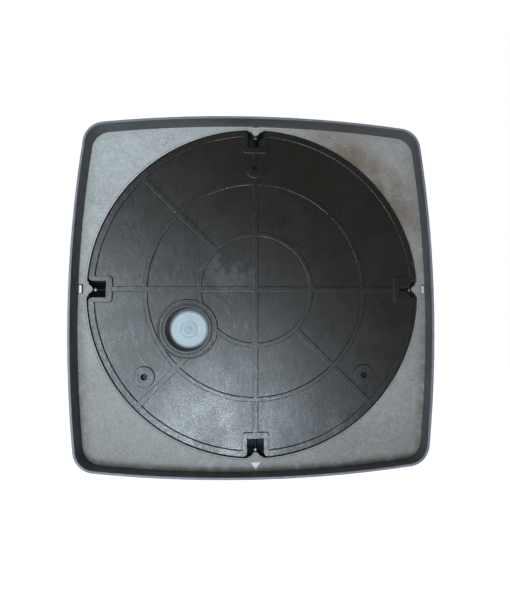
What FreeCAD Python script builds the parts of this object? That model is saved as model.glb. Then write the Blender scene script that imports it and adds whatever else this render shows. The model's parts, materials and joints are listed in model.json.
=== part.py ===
import FreeCAD, Part
import math
import os

# Bathroom extractor fan, surface mounted, centrifugal, with a flat-duct outlet in its top side.
# Millimetres. The wall is the plane Y = 0 and the room is on the -Y side. Z is up.
# The origin is the centre of the round rear opening, on the wall plane.

V = FreeCAD.Vector

# Casing outline: a square with bowed sides and rounded corners
HALF = 159.0            # centre to the middle of a side
SIDE_R = 1110.0         # radius of a bowed side
CORNER_R = 19.5
CASE_Z = -4.1           # the casing's centre is a little below the opening's centre
WALL = 2.3
WEB_Y = -15.0           # rear face of the inner web
WEB_T = 2.5
SEAM_Y = -30.5          # where the rear frame meets the front cover
TONGUE_H = 2.3
FRONT_Y = -95.5
FRONT_DRAFT = 2.3       # how much narrower the front is, per side
FRONT_ROUND = 8.0

# Round opening in the web, with four noses that carry the casing screws
OPEN_R = 150.0
NOSE_TIP = 144.6
NOSE_TIP_R = 3.0
NOSE_BLEND_R = 8.0
EDGE_STEP_W = 1.3
EDGE_STEP_H = 0.5
SLOT_HALF = 4.2         # half length of a nut slot
SLOT_W = 4.2
TOP_SLOT = (1.3, 2.8)    # width and half length of the small slot at the top
NUT = (7.6, 2.0, -27.6, -16.3)

# Casing screws, by the angle of the side they enter: distance of the head's face from the centre
SCREW_Y = -22.0
SCREW_HEADS = {0: HALF - 0.1, 90: HALF + CASE_Z - 0.1, 180: HALF - 0.1, 270: HALF - 0.1}
SCREW_L = 26.8
SCREW_R = 1.95
HEAD_R = 3.6

# Base plate
PLATE_R = 148.9
BAND_W = 5.4
BAND_Y = -15.3          # rear face of the raised band
FLOOR_Y = -16.9         # rear face of the floor
FLOOR_T = 2.5
SKIRT_Y = -30.0
NOTCH_HALF = 7.2
NOTCH_IN = 133.2
NOTCH_WALL_HALF = 12.0
NOTCH_WALL_IN = 127.5
BAND_ROUND = 0.5
RIB_W = 4.8
RIB_H = 1.5
RIB_ROUND = 0.6
RING_INNER = (48.7, 53.1)
RING_OUTER = (96.9, 101.1)
BOSS_TOP = FLOOR_Y + 1.8
FIXINGS = ((0.0, 113.0), (98.3, -78.1), (-98.3, -78.1))
FIXING_R = 3.0
FIXING_BOSS_R = 9.4
FIXING_END_Y = -23.0
GROM_X = 60.8
GROM_Z = -36.0
GROM_BOSS_R = 27.0
GROM_WELL_R = 19.5
GROM_FLOOR_Y = -28.3
GROM_R = 17.1

# Fan
FAN_X = -26.0
FAN_Z = -22.0
SCROLL_R = (71.0, 79.0, 87.0)
SCROLL_STEP = 8.0
SCROLL_T = 2.0
SCROLL_BACK_Y = -40.0
SCROLL_IN_Y = -42.0
SCROLL_FRONT_Y = -82.0
COVER_T = 2.0
DUCT_X0 = -25.0
DUCT_X1 = 65.0
DUCT_TOP = 128.0
TONGUE_R = 3.0
EYE_R = 48.0
WHEEL_R = 62.0
BLADE_IN_R = 50.0
BLADES = 36
SHAFT_R = 2.0
LEAD_X = 14.0            # where the motor leads pass the flange, from the axis
RUN_GAP = 0.05

# Flat-duct socket in the top side of the casing, for a 110 x 54 duct
SOCKET_X = 20.0
SOCKET_Y = -62.3
SOCKET_W = 110.5
SOCKET_D = 54.5
SOCKET_T = 2.0
SOCKET_Z0 = 130.0
SOCKET_STOP = 133.0

# Backdraught flap
FLAP_Y = -45.0
FLAP_Z = 86.5
FLAP_ROD_R = 1.0

# Grille
WINDOW = 113.0          # half width of the window in the front
WINDOW_R = 4.0
GRILLE = 112.5
GRILLE_HINGE_Y = -90.0
GRILLE_HINGE_Z = CASE_Z + 107.0
BARREL_R = 5.5
PIN_R = 1.5

# Electronics
PCB = (72.0, -64.0, 118.0, 36.0)
PCB_Y = -48.0
PCB_T = 1.6


def cyl_y(r, y0, y1, x=0.0, z=0.0):
    low = min(y0, y1)
    return Part.makeCylinder(r, abs(y1 - y0), V(x, low, z), V(0, 1, 0))


def cyl_x(r, x0, x1, y, z):
    return Part.makeCylinder(r, x1 - x0, V(x0, y, z), V(1, 0, 0))


def box(x0, x1, y0, y1, z0, z1):
    return Part.makeBox(x1 - x0, y1 - y0, z1 - z0, V(x0, y0, z0))


def tube_y(r_out, r_in, y0, y1, x=0.0, z=0.0):
    return cyl_y(r_out, y0, y1, x, z).cut(cyl_y(r_in, y0, y1, x, z))


def turn(shape, degrees, x=0.0, z=0.0):
    # turned about an axis along -Y, so that +X goes towards +Z
    out = shape.copy()
    out.rotate(V(x, 0, z), V(0, -1, 0), degrees)
    return out


def prism(edges, y0, y1):
    face = Part.Face(Part.Wire(edges))
    return face.extrude(V(0, y1 - y0, 0))


def arc(a, b, c, y):
    pts = [V(p[0], y, p[1]) for p in (a, b, c)]
    return Part.Arc(pts[0], pts[1], pts[2]).toShape()


def line(a, b, y):
    return Part.makeLine(V(a[0], y, a[1]), V(b[0], y, b[1]))


def on_circle(cx, cz, r, degrees):
    t = math.radians(degrees)
    return (cx + r * math.cos(t), cz + r * math.sin(t))


def case_wire(inset, y, narrower=0.0):
    # bowed square, moved inwards by inset; narrower makes the whole square smaller
    half = HALF - narrower - inset
    big = SIDE_R - inset
    small = CORNER_R - inset
    d = big - half
    p = (-d + math.sqrt(2 * (big - small) ** 2 - d * d)) / 2
    lean = math.degrees(math.atan2(p, p + d))
    edges = []
    for side in range(4):
        a = 90 * side
        cx, cz = on_circle(0, CASE_Z, d, a + 180)
        start = on_circle(cx, cz, big, a - lean)
        mid = on_circle(cx, cz, big, a)
        end = on_circle(cx, cz, big, a + lean)
        edges.append(arc(start, mid, end, y))
        kx, kz = on_circle(0, CASE_Z, p * math.sqrt(2), a + 45)
        c0 = on_circle(kx, kz, small, a + lean)
        c1 = on_circle(kx, kz, small, a + 45)
        c2 = on_circle(kx, kz, small, a + 90 - lean)
        edges.append(arc(c0, c1, c2, y))
    return Part.Wire(edges)


def case_prism(inset, y0, y1):
    return Part.Face(case_wire(inset, y0)).extrude(V(0, y1 - y0, 0))


def nose_edges(grow, y):
    # the opening's outline: a circle with four noses; grow moves it outwards into the web
    reach = OPEN_R - NOSE_BLEND_R
    tip_c = NOSE_TIP + NOSE_TIP_R
    span = NOSE_TIP_R + NOSE_BLEND_R
    v = (reach ** 2 + tip_c ** 2 - span ** 2) / (2 * tip_c)
    u = math.sqrt(reach ** 2 - v * v)
    r_big = OPEN_R + grow
    r_tip = NOSE_TIP_R - grow
    r_bl = NOSE_BLEND_R + grow
    lean = math.degrees(math.atan2(u, v))
    toward = math.degrees(math.atan2(tip_c - v, u))
    edges = []
    for k in range(4):
        a = 90 * k

        def place(pu, pv):
            t = math.radians(a)
            return (pv * math.cos(t) - pu * math.sin(t), pv * math.sin(t) + pu * math.cos(t))

        def ring(cu, cv, r, deg):
            t = math.radians(deg)
            return place(cu + r * math.cos(t), cv + r * math.sin(t))

        left = [ring(-u, v, r_bl, q) for q in (90 + lean, (90 + lean + toward) / 2, toward)]
        tip = [ring(0, tip_c, r_tip, q) for q in (180 + toward, 270, 360 - toward)]
        right = [ring(u, v, r_bl, q) for q in (180 - toward, (270 - lean - toward) / 2, 90 - lean)]
        edges.append(arc(left[0], left[1], left[2], y))
        edges.append(arc(tip[0], tip[1], tip[2], y))
        edges.append(arc(right[0], right[1], right[2], y))
        a0 = a + lean
        a1 = a + 90 - lean
        edges.append(arc(on_circle(0, 0, r_big, a0), on_circle(0, 0, r_big, (a0 + a1) / 2),
                         on_circle(0, 0, r_big, a1), y))
    return Part.__sortEdges__(edges)


def rounded_rect(x0, x1, z0, z1, r, y0, y1):
    k = r * (1 - math.sqrt(0.5))
    e = [
        line((x0 + r, z0), (x1 - r, z0), y0),
        arc((x1 - r, z0), (x1 - k, z0 + k), (x1, z0 + r), y0),
        line((x1, z0 + r), (x1, z1 - r), y0),
        arc((x1, z1 - r), (x1 - k, z1 - k), (x1 - r, z1), y0),
        line((x1 - r, z1), (x0 + r, z1), y0),
        arc((x0 + r, z1), (x0 + k, z1 - k), (x0, z1 - r), y0),
        line((x0, z1 - r), (x0, z0 + r), y0),
        arc((x0, z0 + r), (x0 + k, z0 + k), (x0 + r, z0), y0),
    ]
    return prism(e, y0, y1)


def revolve_y(points, x, z):
    # closed profile of (radius, y) points, turned about a Y axis through x, z
    pts = [V(x + r, y, z) for r, y in points]
    face = Part.Face(Part.makePolygon(pts + [pts[0]]))
    return face.revolve(V(x, 0, z), V(0, 1, 0), 360)


def cross_recess(y_face, direction, size, depth):
    # two crossed slots for a screwdriver, cut into a face at y_face towards direction
    y1 = y_face + direction * depth
    low, high = min(y_face, y1), max(y_face, y1)
    return box(-size, size, low, high, -0.45, 0.45).fuse(box(-0.45, 0.45, low, high, -size, size))


def pan_screw(head_r, head_h, shank_r, length):
    # head from Y = -head_h to 0, shank from 0 to +length
    head = cyl_y(head_r, -head_h, 0)
    head = head.makeFillet(min(head_h * 0.55, head_r * 0.5), [e for e in head.Edges
                           if len(e.Vertexes) == 1 and abs(e.Vertexes[0].Y + head_h) < 1e-6])
    tip = Part.makeCone(shank_r, 0.4, shank_r * 1.6, V(0, length, 0), V(0, 1, 0))
    body = head.fuse([cyl_y(shank_r, 0, length), tip]).removeSplitter()
    return body.cut(cross_recess(-head_h, 1, head_r * 0.62, head_h * 0.55))


# ---------------------------------------------------------------- casing

def casing_screw(angle):
    # lies along a radius: countersunk head outside, slim point that ends in the base plate's notch wall
    n = SCREW_L
    pts = [(0, 0), (HEAD_R, 0), (HEAD_R, 0.3), (SCREW_R, 1.9), (SCREW_R, n - 10.4), (1.1, n - 9.4),
           (0.8, n - 0.4), (0.5, n), (0, n)]
    s = revolve_y(pts, 0, 0).cut(cross_recess(0, 1, 1.9, 1.2))
    return along_radius(s, angle)


def along_radius(shape, angle):
    # from standing on the head's face, along +Y, to the place of the casing screw on that side
    out = shape.copy()
    out.rotate(V(0, 0, 0), V(0, 0, 1), 90)
    out.translate(V(SCREW_HEADS[angle], SCREW_Y, 0))
    return turn(out, angle)


def screw_bore(angle):
    pts = [(0, -6), (HEAD_R + 0.15, -6), (HEAD_R + 0.15, 0.35), (SCREW_R + 0.1, 2.05),
           (SCREW_R + 0.1, SCREW_L - 8), (0, SCREW_L - 8)]
    return along_radius(revolve_y(pts, 0, 0), angle)


def casing_nut(angle):
    # threaded steel plate, drawn against the side wall by its screw
    half, thick, y0, y1 = NUT[0] / 2, NUT[1], NUT[2], NUT[3]
    outer = SCREW_HEADS[angle] + 0.1 - WALL - 0.1
    plate = box(outer - thick, outer, y0, y1, -half, half)
    along = [e for e in plate.Edges if e.BoundBox.XLength > thick - 0.01]
    plate = plate.makeFillet(0.7, along)
    return turn(plate.cut(cyl_x(SCREW_R + 0.04, outer - 5, outer + 1, SCREW_Y, 0)), angle)


def nut_slot(angle):
    # open to the wall side at the left and right, to the room side at the top and bottom
    outer = SCREW_HEADS[angle] + 0.1 - WALL
    if angle in (0, 180):
        return turn(box(outer - SLOT_W, outer, NUT[2] - 0.2, WEB_Y + 1, -SLOT_HALF, SLOT_HALF), angle)
    pocket = box(outer - 2.4, outer, SKIRT_Y, NUT[3] + 0.3, -SLOT_HALF, SLOT_HALF)
    if angle == 90:
        pocket = pocket.fuse(box(outer - TOP_SLOT[0], outer, NUT[3], WEB_Y + 1, -TOP_SLOT[1], TOP_SLOT[1]))
    return turn(pocket, angle)


def screw_block(angle):
    # boss that carries a casing screw, from the side wall in to the nose
    reach = {0: HALF, 90: HALF + CASE_Z, 180: HALF, 270: HALF - CASE_Z}[angle] - WALL + 0.6
    stem = box(OPEN_R - 1.5, reach, SKIRT_Y + 1.0, WEB_Y - 1.0, -6.5, 6.5)
    return turn(stem, angle)


def rear_frame():
    shell = case_prism(0.0, SEAM_Y, 0.0).cut(case_prism(WALL, WEB_Y, 1.0))
    shell = shell.cut(case_prism(WALL, SEAM_Y - 1, WEB_Y - WEB_T))
    lips = [e for e in shell.Edges if abs(e.BoundBox.YMax) < 1e-4 and abs(e.BoundBox.YMin) < 1e-4]
    shell = shell.makeFillet(0.6, lips)
    noses = prism(nose_edges(0.0, WEB_Y - WEB_T - 1), WEB_Y - WEB_T - 1, WEB_Y + 1)
    step = prism(nose_edges(EDGE_STEP_W, WEB_Y - EDGE_STEP_H), WEB_Y - EDGE_STEP_H, WEB_Y + 1)
    shell = shell.cut(noses).cut(step)
    disc = cyl_y(OPEN_R + 0.6, SKIRT_Y + 1.0, WEB_Y - WEB_T + 0.2)
    columns = disc.cut(prism(nose_edges(0.0, SKIRT_Y), SKIRT_Y, WEB_Y + 1))
    keep = [turn(box(OPEN_R - 8, OPEN_R + 2, SKIRT_Y, WEB_Y, -8.0, 8.0), a) for a in range(0, 360, 90)]
    columns = columns.common(keep[0].fuse(keep[1:]))
    shell = shell.fuse([columns] + [screw_block(a) for a in range(0, 360, 90)]).removeSplitter()
    cuts = []
    for a in range(0, 360, 90):
        cuts += [screw_bore(a), nut_slot(a)]
    arrow = Part.makePolygon([V(-4.3, WEB_Y - 0.6, -153.2), V(4.3, WEB_Y - 0.6, -153.2),
                              V(0, WEB_Y - 0.6, -159.7), V(-4.3, WEB_Y - 0.6, -153.2)])
    cuts.append(Part.Face(arrow).extrude(V(0, 3, 0)))
    for x, z in marks():
        cuts.append(tube_y(3.8, 3.2, WEB_Y - 0.4, WEB_Y + 1, x, z))
    cuts.append(case_prism(WALL / 2, SEAM_Y - 1, SEAM_Y + TONGUE_H).cut(case_prism(WALL, SEAM_Y - 2, 0)))
    return shell.cut(cuts).removeSplitter()


def marks():
    # ejector pin marks on the web
    out = []
    for sx in (-1, 1):
        out += [(sx * 85.0, 137.0), (sx * 85.0, -143.0), (sx * 143.0, 80.0), (sx * 143.0, -85.5)]
    return out


def cover_skin(inset, y_front, rounding):
    rear = case_wire(inset, SEAM_Y)
    front = case_wire(inset, y_front, FRONT_DRAFT)
    body = Part.makeLoft([rear, front], True, True)
    edges = [e for e in body.Edges
             if abs(e.BoundBox.YMax - y_front) < 1e-3 and abs(e.BoundBox.YMin - y_front) < 1e-3]
    return body.makeFillet(rounding, edges)


def front_cover():
    inner = cover_skin(WALL, FRONT_Y + WALL, FRONT_ROUND - WALL)
    shell = cover_skin(0.0, FRONT_Y, FRONT_ROUND).cut(inner)
    tongue = case_prism(WALL / 2 + 0.05, SEAM_Y - 0.5, SEAM_Y + TONGUE_H - 0.1)
    tongue = tongue.cut(case_prism(WALL, SEAM_Y - 1, SEAM_Y + TONGUE_H))
    w = WINDOW
    zc = CASE_Z
    sleeve = rounded_rect(-w - 2, w + 2, zc - w - 2, zc + w + 2, WINDOW_R + 2, FRONT_Y + 1, -86.4)
    ledge = rounded_rect(-w - 1, w + 1, zc - w - 1, 97.0, WINDOW_R, -88.2, -86.4)
    low, high = GRILLE_HINGE_Z - 4.0, GRILLE_HINGE_Z + 4.0
    bosses = [box(x, x + 5.0, -94.0, -86.0, low, high) for x in (-w - 5.0, w)]
    hole = rounded_rect(-w, w, zc - w, zc + w, WINDOW_R, FRONT_Y - 1, -88.2)
    through = rounded_rect(-105.0, 105.0, zc - 105.0, 96.0, 3.0, FRONT_Y - 1, -80.0)
    top_gap = box(-w, w, FRONT_Y - 1, -84.0, 96.5, zc + w)
    side = SOCKET_W / 2
    duct = box(SOCKET_X - side, SOCKET_X + side, SOCKET_Y - SOCKET_D / 2, SOCKET_Y + SOCKET_D / 2, 140, 170)
    pins = cyl_x(PIN_R, -117.0, 117.0, GRILLE_HINGE_Y, GRILLE_HINGE_Z)
    out = shell.fuse([tongue, sleeve, ledge] + bosses)
    return out.cut([hole, through, top_gap, duct, pins]).removeSplitter()


def outlet_socket():
    a = SOCKET_W / 2
    b = SOCKET_D / 2
    t = SOCKET_T
    x, y = SOCKET_X, SOCKET_Y
    body = box(x - a - t, x + a + t, y - b - t, y + b + t, SOCKET_Z0, 165)
    flange = box(x - a - 6, x + a + 6, y - b - t, y + b + t, 148, 165)
    inner = cover_skin(WALL, FRONT_Y + WALL, FRONT_ROUND - WALL)
    under = inner.copy()
    under.translate(V(0, 0, -2.0))
    out = body.common(inner).fuse(flange.common(inner).cut(under))
    out = out.cut(box(x - a, x + a, y - b, y + b, SOCKET_STOP, 170))
    out = out.cut(box(DUCT_X0 - 1, DUCT_X1 + 1, SCROLL_FRONT_Y - 1, SCROLL_IN_Y + 1, 120, 140))
    return out.removeSplitter()


def front_grille():
    g = GRILLE
    zc = CASE_Z
    top = GRILLE_HINGE_Z
    plate = rounded_rect(-g, g, zc - g, zc + g, WINDOW_R - 0.5, FRONT_Y, FRONT_Y + 2.5)
    plate = plate.cut(box(-g - 1, g + 1, FRONT_Y - 1, -80, top, top + 20))
    barrel = cyl_x(BARREL_R, -g, g, GRILLE_HINGE_Y, top)
    barrel = barrel.cut(cyl_x(PIN_R + RUN_GAP, -g - 1, g + 1, GRILLE_HINGE_Y, top))
    low = zc - g + 13.0
    high = top - 10.0
    plate = plate.cut(rounded_rect(-g + 13, g - 13, low, high, 6.0, FRONT_Y - 1, -80))
    count = 15
    pitch = (high - low) / count
    slats = []
    for k in range(count):
        z = low + pitch * (k + 0.5)
        pts = [V(-g + 12, FRONT_Y, z - 4.2), V(-g + 12, FRONT_Y, z - 2.2),
               V(-g + 12, FRONT_Y + 6.5, z + 3.4), V(-g + 12, FRONT_Y + 6.5, z + 1.4)]
        face = Part.Face(Part.makePolygon(pts + [pts[0]]))
        slats.append(face.extrude(V(2 * g - 24, 0, 0)))
    stays = [box(x - 1.2, x + 1.2, FRONT_Y + 2.0, FRONT_Y + 7.5, low - 2, high + 2)
             for x in (-60.0, 0.0, 60.0)]
    hem = rounded_rect(-g + 1, g - 1, zc - g + 1, top - 8, 3.0, FRONT_Y + 1, FRONT_Y + 6.5)
    hem = hem.cut(rounded_rect(-g + 3, g - 3, zc - g + 3, top - 7, 2.0, FRONT_Y, FRONT_Y + 8))
    body = plate.fuse([barrel, hem] + slats + stays).removeSplitter()
    pull = cyl_x(4.0, -12.0, 12.0, FRONT_Y - 1.5, zc - g + 5.5)
    return body.cut(pull)


def grille_hinge_pins():
    pins = [cyl_x(PIN_R, 104.0, 117.0, GRILLE_HINGE_Y, GRILLE_HINGE_Z),
            cyl_x(PIN_R, -117.0, -104.0, GRILLE_HINGE_Y, GRILLE_HINGE_Z)]
    return Part.makeCompound(pins)


# ---------------------------------------------------------------- base plate

def plate_outline(y):
    # disc with four notches whose mouths are rounded
    r = 4.0
    reach = PLATE_R - r
    cu = NOTCH_HALF + r
    cv = math.sqrt(reach ** 2 - cu ** 2)
    lean = math.degrees(math.atan2(cu, cv))
    edges = []
    for k in range(4):
        a = 90 * k

        def place(pu, pv):
            t = math.radians(a)
            return (pv * math.cos(t) - pu * math.sin(t), pv * math.sin(t) + pu * math.cos(t))

        def ring(c, deg):
            t = math.radians(deg)
            return place(c[0] + r * math.cos(t), c[1] + r * math.sin(t))

        left = (-cu, cv)
        right = (cu, cv)
        edges.append(arc(ring(left, 90 + lean), ring(left, 45 + lean / 2), ring(left, 0), y))
        edges.append(line(place(-NOTCH_HALF, cv), place(-NOTCH_HALF, NOTCH_IN), y))
        edges.append(line(place(-NOTCH_HALF, NOTCH_IN), place(NOTCH_HALF, NOTCH_IN), y))
        edges.append(line(place(NOTCH_HALF, NOTCH_IN), place(NOTCH_HALF, cv), y))
        edges.append(arc(ring(right, 180), ring(right, 135 - lean / 2), ring(right, 90 - lean), y))
        edges.append(arc(on_circle(0, 0, PLATE_R, a + lean), on_circle(0, 0, PLATE_R, a + 45),
                         on_circle(0, 0, PLATE_R, a + 90 - lean), y))
    return Part.__sortEdges__(edges)


def notch_wall(angle, y0, y1):
    r = 3.0
    outer = rounded_rect(NOTCH_WALL_IN, PLATE_R - 2, -NOTCH_WALL_HALF, NOTCH_WALL_HALF, r, y0, y1)
    return turn(outer, angle)


def rounded_crest(rib, y):
    edges = [e for e in rib.Edges if abs(e.BoundBox.YMin - y) < 1e-6 and abs(e.BoundBox.YMax - y) < 1e-6]
    return rib.makeFillet(RIB_ROUND, edges)


def straight_rib(x0, x1, y0, y1):
    rib = box(x0, x1, y0, y1, -RIB_W / 2, RIB_W / 2)
    edges = [e for e in rib.Edges if e.BoundBox.XLength > 10 and e.BoundBox.YMin > y1 - 1e-6]
    return rib.makeFillet(RIB_ROUND, edges)


def cable_boss():
    # deep well for the plug; around its mouth a rounded lip, a groove and a rounded outer crest
    w, b, t, y = GROM_WELL_R, GROM_BOSS_R, BOSS_TOP, GROM_FLOOR_Y
    pts = [(w, y), (w, t - 0.7), (w + 0.2, t - 0.3), (w + 0.6, t - 0.1), (w + 1.9, t - 0.1),
           (w + 2.4, t - 0.4), (w + 2.7, t - 0.9), (w + 3.3, t - 0.9), (w + 3.7, t - 0.5),
           (b - 2.0, t - 0.5), (b - 1.6, t - 0.15), (b - 1.2, t), (b - 0.7, t), (b - 0.25, t - 0.25),
           (b, t - 0.8), (b, FLOOR_Y - 1), (w + 2, FLOOR_Y - 1), (w + 2, y - 2), (12.5, y - 2), (12.5, y)]
    return revolve_y(pts, GROM_X, GROM_Z)


def base_plate():
    low, high = SKIRT_Y, BAND_Y
    disc = prism(plate_outline(low), low, high)
    hollow = cyl_y(PLATE_R - BAND_W, low - 1, high + 1)
    walls = [notch_wall(a, low - 1, high + 1) for a in range(0, 360, 90)]
    hollow = hollow.cut(walls)
    band = disc.cut(hollow)
    edges = [e for e in band.Edges if abs(e.BoundBox.YMin - high) < 1e-4]
    band = band.makeFillet(BAND_ROUND, edges)
    floor = disc.common(cyl_y(PLATE_R - 1, FLOOR_Y - FLOOR_T, FLOOR_Y))
    y0, y1 = FLOOR_Y - 0.2, FLOOR_Y + RIB_H
    ribs = [rounded_crest(tube_y(r[1], r[0], y0, y1), y1) for r in (RING_INNER, RING_OUTER)]
    for a in (0, 90):
        ribs.append(turn(straight_rib(-NOTCH_WALL_IN - 1, NOTCH_WALL_IN + 1, y0, y1), a))
    for a in range(0, 360, 90):
        start = 86.0 if a == 270 else RING_INNER[0] + 2
        ribs.append(turn(straight_rib(start, PLATE_R - BAND_W + 1, y0, y1), a + 45))
    within = cyl_y(GROM_BOSS_R - 1.0, y0, y1 + 1, GROM_X, GROM_Z)
    adds = [rib.cut(within) for rib in ribs] + [floor, cable_boss()]
    cuts = [cyl_y(GROM_WELL_R, GROM_FLOOR_Y, BOSS_TOP + 1, GROM_X, GROM_Z)]
    for x, z in FIXINGS:
        adds.append(rounded_crest(cyl_y(FIXING_BOSS_R, FIXING_END_Y, BOSS_TOP, x, z), BOSS_TOP))
        cuts.append(cyl_y(5.0, BOSS_TOP - 0.8, BOSS_TOP + 5, x, z))
        cuts.append(cyl_y(FIXING_R, FIXING_END_Y - 5, BOSS_TOP + 5, x, z))
    for x, z in scroll_ears():
        adds.append(cyl_y(4.5, SCROLL_BACK_Y, FLOOR_Y - 1, x, z))
        cuts.append(cyl_y(1.35, SCROLL_BACK_Y - 1, SCROLL_BACK_Y + 12, x, z))
    for x, z in pcb_holes():
        adds.append(cyl_y(3.5, PCB_Y, FLOOR_Y - 1, x, z))
        cuts.append(cyl_y(1.2, PCB_Y - 1, PCB_Y + 10, x, z))
    for x in CLAMP_X:
        adds.append(cyl_y(3.5, -31.0, FLOOR_Y - 1, x, CLAMP_Z))
        cuts.append(cyl_y(1.2, -32.0, -24.5, x, CLAMP_Z))
    for a in range(0, 360, 90):
        cuts.append(turn(cyl_x(1.45, NOTCH_IN - 5.4, NOTCH_IN + 1, SCREW_Y, 0), a))
    return band.fuse(adds).cut(cuts).removeSplitter()


def cable_grommet():
    # blank rubber plug: dished face with moulded rings, a groove that grips the well's floor
    y = GROM_FLOOR_Y
    pts = [(0, y + 3.9), (1.5, y + 3.9), (1.9, y + 3.3), (3.3, y + 3.1), (3.8, y + 3.6),
           (6.9, y + 3.3), (7.4, y + 2.6), (8.1, y + 3.2), (GROM_R - 1.7, y + 2.9), (GROM_R, y + 1.6),
           (GROM_R, y), (12.5, y), (12.5, y - 2.0), (14.2, y - 2.0), (13.0, y - 5.0),
           (10.0, y - 5.0), (10.0, y + 1.4), (0, y + 1.9)]
    return revolve_y(pts, GROM_X, GROM_Z)


CLAMP_X = (57.0, 75.0)
CLAMP_Z = -72.0


def cable_clamp():
    bar = box(52.5, 79.5, -34.2, -31.0, CLAMP_Z - 4.0, CLAMP_Z + 4.0)
    mid = (CLAMP_X[0] + CLAMP_X[1]) / 2
    arch = Part.makeCylinder(6.5, 8.0, V(mid, -30.0, CLAMP_Z - 4.0), V(0, 0, 1))
    core = Part.makeCylinder(4.3, 10.0, V(mid, -30.0, CLAMP_Z - 5.0), V(0, 0, 1))
    body = bar.fuse(arch.common(box(40, 90, -45, -31.0, -90, -60))).cut(core)
    holes = [cyl_y(1.7, -40, -30, x, CLAMP_Z) for x in CLAMP_X]
    return body.cut(holes).removeSplitter()


def screws_at(points, y, head_r, head_h, shank_r, length):
    out = []
    for x, z in points:
        s = pan_screw(head_r, head_h, shank_r, length)
        s.translate(V(x, y, z))
        out.append(s)
    return Part.makeCompound(out)


def cable_clamp_screws():
    return screws_at([(x, CLAMP_Z) for x in CLAMP_X], -34.2, 3.0, 1.9, 1.2, 7.0)


# ---------------------------------------------------------------- fan

def scroll_centres():
    h = SCROLL_STEP / 2
    return ((FAN_X - h, FAN_Z - h), (FAN_X + h, FAN_Z - h), (FAN_X + h, FAN_Z + h))


def scroll_prism(grow, top, y0, y1):
    # spiral of three quarter arcs that opens into the outlet duct
    a, b, c = scroll_centres()
    ra, rb, rc = [r + grow for r in SCROLL_R]
    x0 = DUCT_X0 - grow
    x1 = DUCT_X1 + grow
    peak = (a[0], a[1] + ra)
    foot = (x0 - TONGUE_R, peak[1])
    k = TONGUE_R * math.sqrt(0.5)
    e = [
        line((x1, top), (x1, c[1]), y0),
        arc((x1, c[1]), on_circle(c[0], c[1], rc, -45), (c[0], c[1] - rc), y0),
        arc((b[0], b[1] - rb), on_circle(b[0], b[1], rb, -135), (b[0] - rb, b[1]), y0),
        arc((a[0] - ra, a[1]), on_circle(a[0], a[1], ra, 135), peak, y0),
    ]
    if foot[0] - peak[0] > 1e-6:
        e.append(line(peak, foot, y0))
    e.append(arc(foot, (foot[0] + k, foot[1] + TONGUE_R - k), (x0, foot[1] + TONGUE_R), y0))
    e.append(line((x0, foot[1] + TONGUE_R), (x0, top), y0))
    e.append(line((x0, top), (x1, top), y0))
    return prism(e, y0, y1)


def scroll_ears():
    a, b, c = scroll_centres()
    return (on_circle(a[0], a[1], SCROLL_R[0] + 8, 142), on_circle(b[0], b[1], SCROLL_R[1] + 8, 238),
            on_circle(c[0], c[1], SCROLL_R[2] + 8, 308), (DUCT_X1 + 8, 100.0), (DUCT_X0 - 8, 100.0))


def cover_posts():
    a, b, c = scroll_centres()
    return (on_circle(a[0], a[1], SCROLL_R[0] + 5, 112), on_circle(b[0], b[1], SCROLL_R[1] + 5, 186),
            on_circle(b[0], b[1], SCROLL_R[1] + 5, 266), on_circle(c[0], c[1], SCROLL_R[2] + 5, 340),
            (DUCT_X1 + 5, 70.0), (DUCT_X0 - 5, 78.0))


def motor_holes():
    return [on_circle(FAN_X, FAN_Z, 22.0, q) for q in (90, 210, 330)]


def lead_slot(y0, y1, grow):
    x = FAN_X + LEAD_X
    return box(x - 1.1 - grow, x + 1.1 + grow, y0, y1, FAN_Z - 3.1 - grow, FAN_Z + 3.1 + grow)


def scroll_housing():
    outer = scroll_prism(SCROLL_T, DUCT_TOP, SCROLL_BACK_Y, SCROLL_FRONT_Y)
    adds = []
    cuts = [scroll_prism(0.0, DUCT_TOP + 5, SCROLL_IN_Y, SCROLL_FRONT_Y - 1)]
    for x, z in scroll_ears():
        adds.append(cyl_y(6.5, SCROLL_BACK_Y, SCROLL_IN_Y, x, z))
        cuts.append(cyl_y(1.8, SCROLL_BACK_Y + 1, SCROLL_IN_Y - 1, x, z))
    for x, z in cover_posts():
        adds.append(cyl_y(3.6, SCROLL_BACK_Y, SCROLL_FRONT_Y, x, z))
    body = outer.fuse(adds).cut(cuts)
    ledges = [
        box(DUCT_X0 - 0.5, DUCT_X1 + 0.5, SCROLL_IN_Y - 2.0, SCROLL_IN_Y + 0.5, 81.0, 83.6),
        box(DUCT_X0 - 0.5, DUCT_X0 + 1.6, SCROLL_FRONT_Y, SCROLL_IN_Y + 0.5, 82.0, 83.6),
        box(DUCT_X1 - 1.6, DUCT_X1 + 0.5, SCROLL_FRONT_Y, SCROLL_IN_Y + 0.5, 82.0, 83.6),
    ]
    body = body.fuse(ledges)
    holes = [cyl_x(FLAP_ROD_R, DUCT_X0 - 1.8, DUCT_X1 + 1.8, FLAP_Y, FLAP_Z)]
    for x, z in cover_posts():
        holes.append(cyl_y(1.25, SCROLL_FRONT_Y - 1, SCROLL_FRONT_Y + 12, x, z))
    for x, z in motor_holes():
        holes.append(cyl_y(1.7, SCROLL_BACK_Y + 1, SCROLL_IN_Y - 1, x, z))
    holes.append(cyl_y(4.5, SCROLL_BACK_Y + 1, SCROLL_IN_Y - 1, FAN_X, FAN_Z))
    holes.append(lead_slot(SCROLL_IN_Y - 1, SCROLL_BACK_Y + 1, 0.3))
    return body.cut(holes).removeSplitter()


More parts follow.
